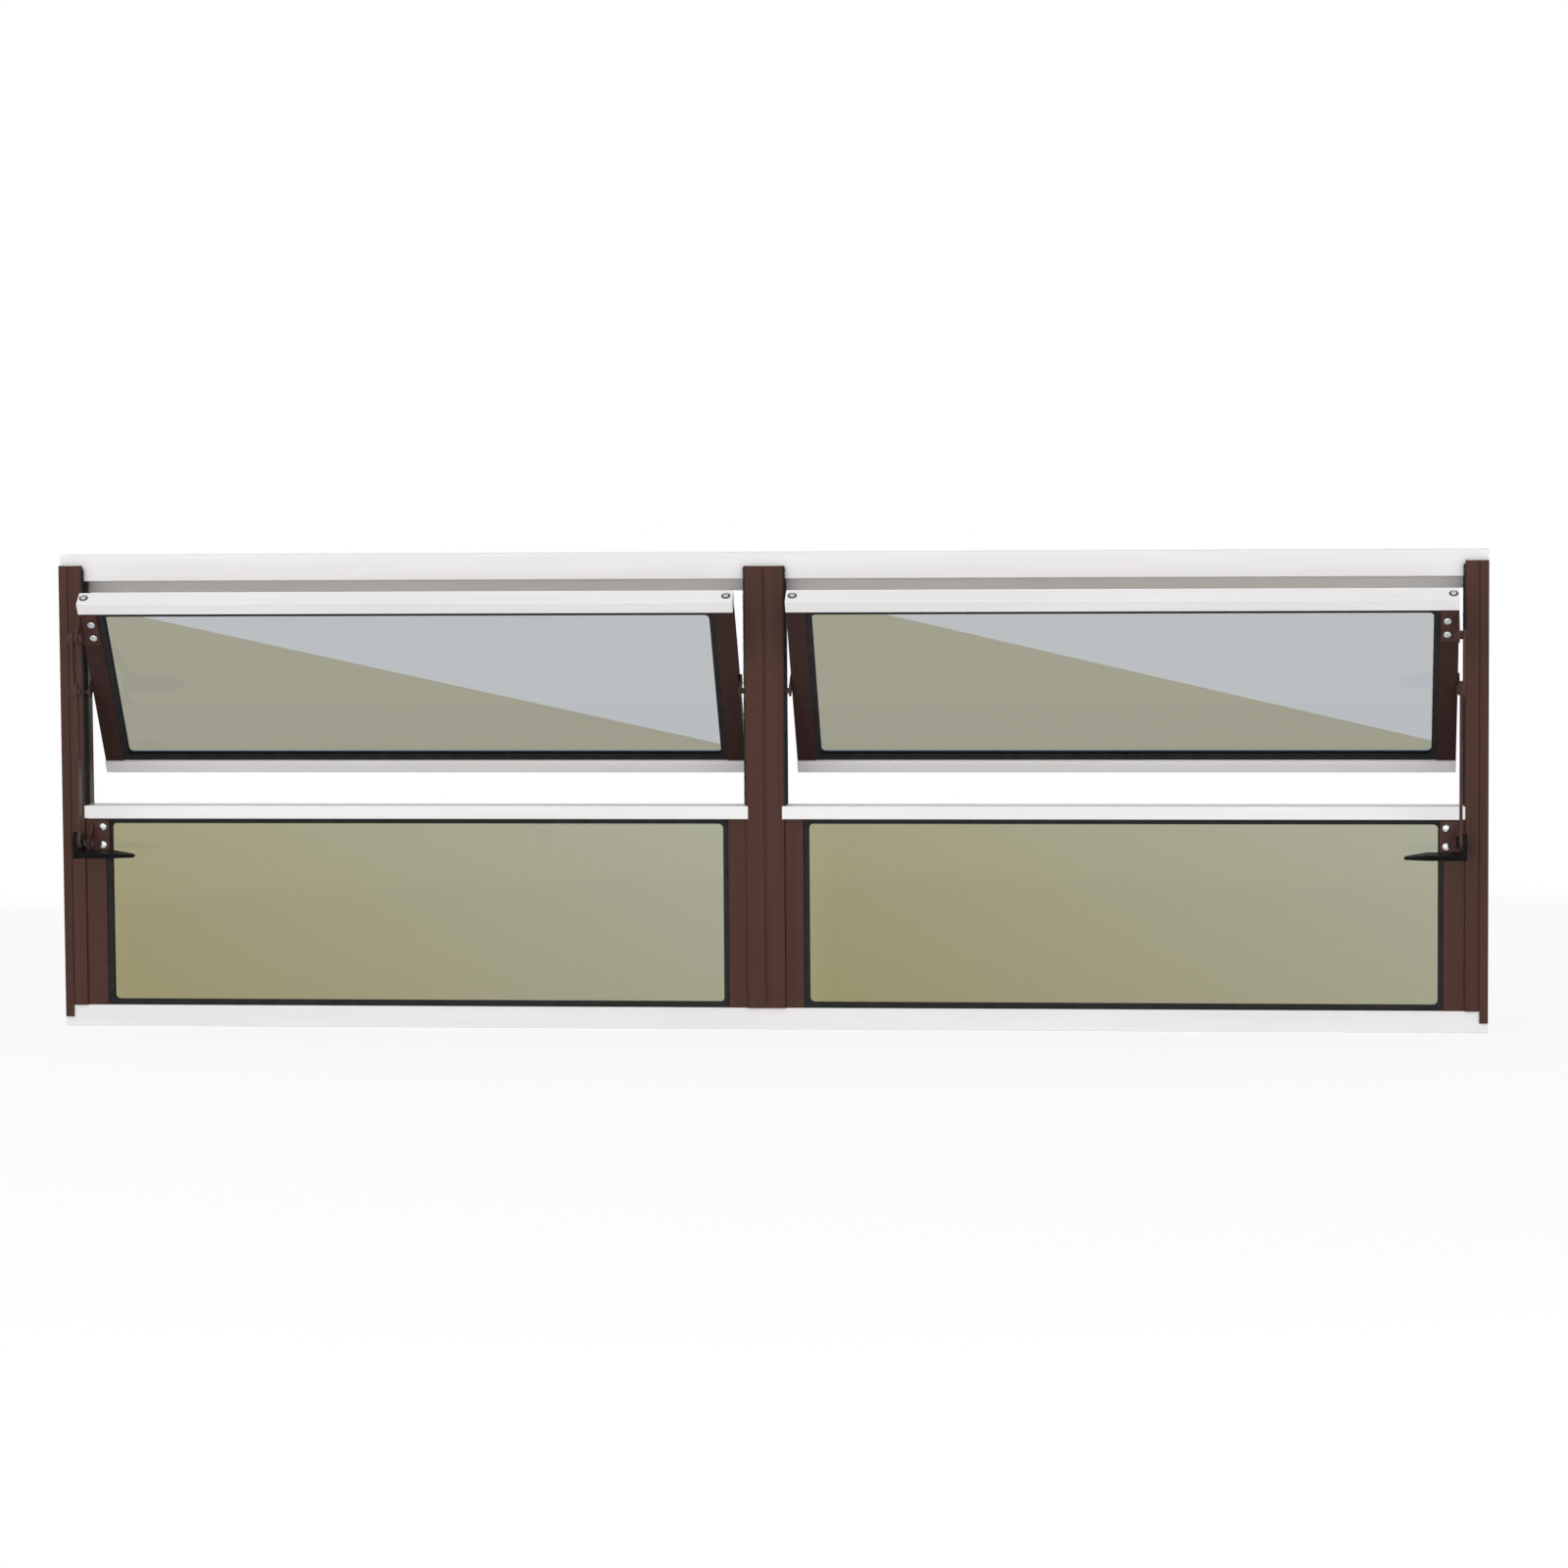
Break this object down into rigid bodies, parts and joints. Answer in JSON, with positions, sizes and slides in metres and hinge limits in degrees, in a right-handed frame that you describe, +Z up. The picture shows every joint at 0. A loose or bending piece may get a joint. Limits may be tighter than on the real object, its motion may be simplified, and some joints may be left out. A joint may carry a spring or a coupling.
{
  "type": "pivot window",
  "caption": "Wide aluminium pivot window: tilting sashes over fixed tinted panes, worked by hand levers and flat rods at the jambs.",
  "frame": {"origin": "middle of the sill's flat underside, under the frame's mid depth", "axes": "+X along the window, -Y towards the room side with the levers, +Z up"},
  "size_m": [1.5, 0.1494, 0.5],
  "materials": {
    "white_coat": "white powder coat",
    "brown_coat": "brown powder coat",
    "brown_steel": "brown paint",
    "black_lever": "black gloss",
    "gasket": "black rubber",
    "brush_seal": "dark pile",
    "tinted_glass": "bronze tint"
  },
  "bodies": {
    "frame": {"head": "white_coat", "sill": "white_coat", "left_jamb": "brown_coat", "right_jamb": "brown_coat", "mullion": "brown_coat", "left_transom": "white_coat", "left_seals": "brush_seal", "left_fixed_stiles": "brown_coat", "left_fixed_gasket": "gasket", "left_fixed_glass": "tinted_glass", "left_lever_bracket": "brown_steel", "left_lever_bolt": "brown_steel", "right_transom": "white_coat", "right_seals": "brush_seal", "right_fixed_stiles": "brown_coat", "right_fixed_gasket": "gasket", "right_fixed_glass": "tinted_glass", "right_lever_bracket": "brown_steel", "right_lever_bolt": "brown_steel"},
    "left_sash": {"left_sash_top_rail": "white_coat", "left_sash_bottom_rail": "white_coat", "left_sash_outer_stile": "brown_coat", "left_sash_inner_stile": "brown_coat", "left_sash_gasket": "gasket", "left_sash_glass": "tinted_glass", "left_sash_pivots": "brown_steel", "left_sash_rod_bracket": "brown_steel", "left_sash_rod_bolt": "brown_steel"},
    "left_rod": {"left_rod_lower_bar": "brown_steel", "left_rod_upper_bar": "brown_steel", "left_rod_joint_bolt": "brown_steel"},
    "left_lever": {"left_lever": "black_lever"},
    "right_sash": {"right_sash_top_rail": "white_coat", "right_sash_bottom_rail": "white_coat", "right_sash_outer_stile": "brown_coat", "right_sash_inner_stile": "brown_coat", "right_sash_gasket": "gasket", "right_sash_glass": "tinted_glass", "right_sash_pivots": "brown_steel", "right_sash_rod_bracket": "brown_steel", "right_sash_rod_bolt": "brown_steel"},
    "right_rod": {"right_rod_lower_bar": "brown_steel", "right_rod_upper_bar": "brown_steel", "right_rod_joint_bolt": "brown_steel"},
    "right_lever": {"right_lever": "black_lever"}
  },
  "joints": [
    {"name": "left_sash_tilt", "type": "hinge", "parent": "frame", "child": "left_sash", "pos_m": [-0.373, -0.0155, 0.3555], "axis": [1, 0, 0], "range_deg": [-34, 10]},
    {"name": "left_rod_swing", "type": "hinge", "parent": "left_sash", "child": "left_rod", "pos_m": [-0.7233, -0.07462, 0.41453], "axis": [1, 0, 0], "range_deg": [-8.54, 27.84]},
    {"name": "left_lever_turn", "type": "hinge", "parent": "frame", "child": "left_lever", "pos_m": [-0.724, -0.037, 0.196], "axis": [1, 0, 0], "range_deg": [-61.16, 18.34]},
    {"name": "right_sash_tilt", "type": "hinge", "parent": "frame", "child": "right_sash", "pos_m": [0.373, -0.0155, 0.3555], "axis": [1, 0, 0], "range_deg": [-34, 10]},
    {"name": "right_rod_swing", "type": "hinge", "parent": "right_sash", "child": "right_rod", "pos_m": [0.7233, -0.07462, 0.41453], "axis": [1, 0, 0], "range_deg": [-8.54, 27.84]},
    {"name": "right_lever_turn", "type": "hinge", "parent": "frame", "child": "right_lever", "pos_m": [0.724, -0.037, 0.196], "axis": [1, 0, 0], "range_deg": [-61.16, 18.34]}
  ],
  "couplings": [
    {"joint": "left_rod_swing", "follows": "left_sash_tilt", "ratio": -0.804},
    {"joint": "left_lever_turn", "follows": "left_sash_tilt", "ratio": 1.784},
    {"joint": "right_rod_swing", "follows": "right_sash_tilt", "ratio": -0.804},
    {"joint": "right_lever_turn", "follows": "right_sash_tilt", "ratio": 1.784}
  ]
}
